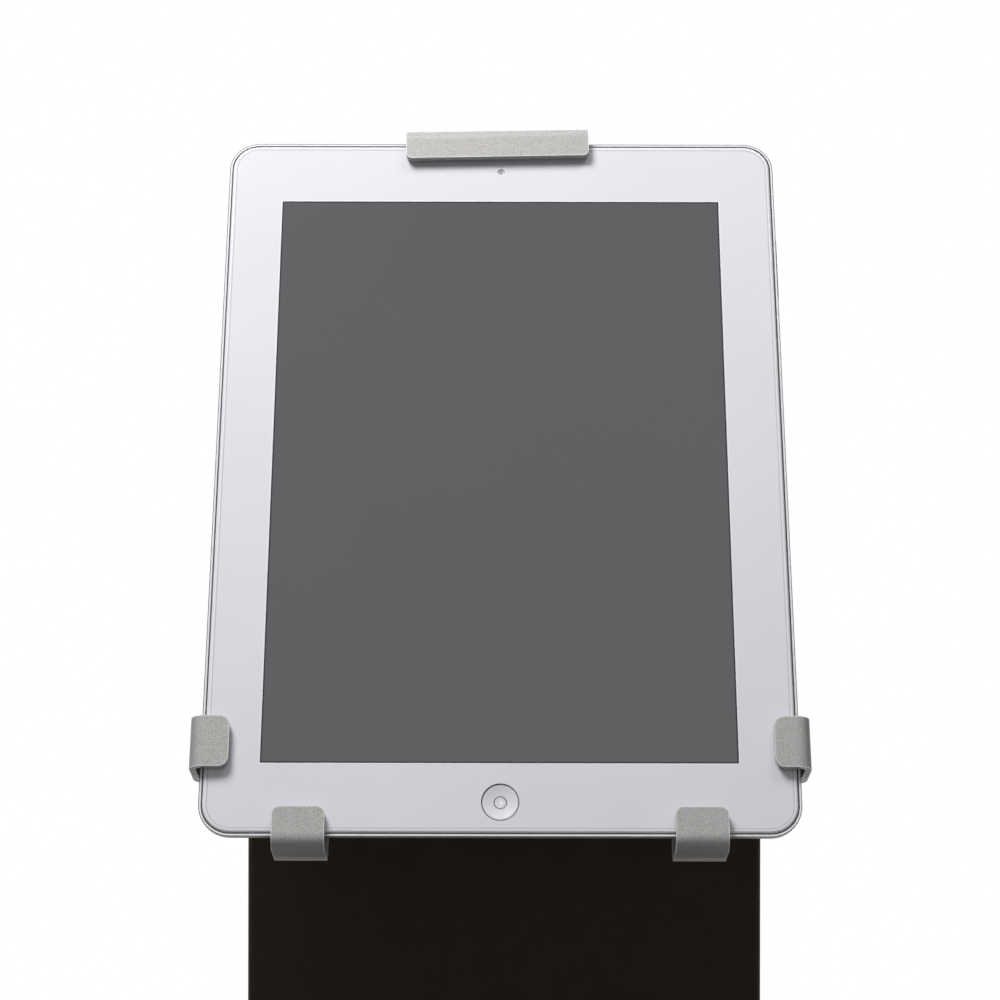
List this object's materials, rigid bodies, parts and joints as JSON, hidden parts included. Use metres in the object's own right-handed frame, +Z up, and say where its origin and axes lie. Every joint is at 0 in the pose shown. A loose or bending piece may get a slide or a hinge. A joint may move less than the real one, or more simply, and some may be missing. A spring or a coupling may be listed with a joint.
{
  "type": "tablet floor stand",
  "caption": "Floor stand with a wide black column that holds a tablet in bent metal hooks; height, tilt, swivel and the top clip adjust.",
  "frame": {"origin": "on the floor, under the middle of the base plate", "axes": "+Z up, +Y away from a person who faces the screen, +X to that person's right"},
  "size_m": [0.38, 0.4, 1.1726],
  "materials": {
    "black_steel": "fine-textured satin powder coat",
    "silver_coat": "speckled metallic powder coat, satin",
    "mast_silver": "satin anodised, drawn along the mast",
    "zinc_steel": "zinc plated",
    "black_screws": "black oxide",
    "black_rubber": "matte",
    "black_plastic": "fine-grained moulded nylon",
    "tablet_aluminium": "bead blasted and anodised",
    "tablet_window": "fine matte",
    "tablet_seal": "matte",
    "tablet_front": "white lacquer behind clear glass; the screen area is shown as switched off",
    "tablet_screen": "dark panel",
    "tablet_button": "glossy white",
    "battery_wrap": "foil pouch",
    "circuit_board": "solder mask",
    "dark_parts": "dark glass and plastic",
    "socket_metal": "stamped sheet"
  },
  "bodies": {
    "stand": {"base_plate": "black_steel", "foot_pads": "black_rubber", "foot_screws": "zinc_steel", "column_foot": "black_steel", "column_bolts": "zinc_steel", "column_shell": "black_steel", "rear_cover": "black_steel", "cover_screws": "black_screws", "cable_grommet": "black_rubber", "top_guide": "black_plastic", "top_guide_screws": "black_screws", "lower_guide_plate": "black_steel", "lower_guide_liner": "black_plastic", "lock_crossbar": "black_steel", "brake_pad": "black_rubber"},
    "height_knob": {"height_knob": "black_plastic", "height_lock_screw": "zinc_steel"},
    "mast": {"mast_tube": "mast_silver", "mast_stop_collar": "mast_silver", "mast_head": "silver_coat", "mast_head_screws": "zinc_steel", "tilt_pin": "zinc_steel", "tilt_washers": "zinc_steel"},
    "tilt_knob": {"tilt_knob": "black_plastic"},
    "tilt_head": {"tilt_bracket": "silver_coat", "tilt_spacer": "zinc_steel", "swivel_disc": "black_plastic", "swivel_bolt": "zinc_steel", "swivel_washer": "zinc_steel", "swivel_nut": "zinc_steel", "swivel_stop_pin": "zinc_steel"},
    "holder": {"holder_plate": "silver_coat", "rest_pads": "black_rubber", "side_hook_liners": "black_rubber", "bottom_hook_pads": "black_rubber", "clip_guides": "black_plastic", "guide_rivets": "zinc_steel", "clip_press_nut": "zinc_steel", "tablet_rear_shell": "tablet_aluminium", "tablet_antenna_window": "tablet_window", "tablet_gasket": "tablet_seal", "tablet_glass": "tablet_front", "tablet_display": "tablet_screen", "tablet_battery": "battery_wrap", "tablet_logic_board": "circuit_board", "tablet_camera": "dark_parts", "tablet_rear_camera": "dark_parts", "tablet_port_socket": "socket_metal", "tablet_home_switch": "dark_parts"},
    "clip_knob": {"clip_knob": "black_plastic", "clip_lock_screw": "zinc_steel", "clip_washer": "zinc_steel"},
    "top_clip": {"top_clip": "silver_coat", "top_clip_pad": "black_rubber"},
    "home_button": {"tablet_home_button": "tablet_button"},
    "power_button": {"tablet_power_button": "tablet_aluminium"},
    "volume_button": {"tablet_volume_button": "tablet_aluminium"}
  },
  "joints": [
    {"name": "height_slide", "type": "slide", "parent": "stand", "child": "mast", "axis": [0, 0, 1], "range_m": [0, 0.2]},
    {"name": "height_knob_turn", "type": "hinge", "parent": "stand", "child": "height_knob", "pos_m": [0, 0.0495, 0.94], "axis": [0, 1, 0], "range_deg": [0, 360]},
    {"name": "tilt", "type": "hinge", "parent": "mast", "child": "tilt_head", "pos_m": [-0.0014, 0.0085, 1.039], "axis": [1, 0, 0], "range_deg": [-37.7, 22.3]},
    {"name": "tilt_knob_turn", "type": "hinge", "parent": "mast", "child": "tilt_knob", "pos_m": [0.0358, 0.0085, 1.039], "axis": [1, 0, 0], "range_deg": [0, 360]},
    {"name": "swivel", "type": "hinge", "parent": "tilt_head", "child": "holder", "pos_m": [-0.0014, -0.03036, 1.05494], "axis": [0, -0.9252, 0.3795], "range_deg": [-90, 90]},
    {"name": "clip_slide", "type": "slide", "parent": "holder", "child": "top_clip", "axis": [-0.0209, 0.3794, 0.925], "range_m": [0, 0.042]},
    {"name": "clip_knob_turn", "type": "hinge", "parent": "holder", "child": "clip_knob", "pos_m": [-0.0021, 0.00379, 1.13821], "axis": [0, 0.9252, -0.3795], "range_deg": [0, 360]},
    {"name": "home_button_press", "type": "slide", "parent": "holder", "child": "home_button", "axis": [0, 0.9252, -0.3795], "range_m": [0, 0.0004], "stiffness_N_per_m": 2000},
    {"name": "power_button_press", "type": "slide", "parent": "holder", "child": "power_button", "axis": [0, -0.3795, -0.9252], "range_m": [0, 0.0002], "stiffness_N_per_m": 4000},
    {"name": "volume_button_press", "type": "slide", "parent": "holder", "child": "volume_button", "axis": [-1, 0, 0], "range_m": [0, 0.0002], "stiffness_N_per_m": 4000}
  ]
}
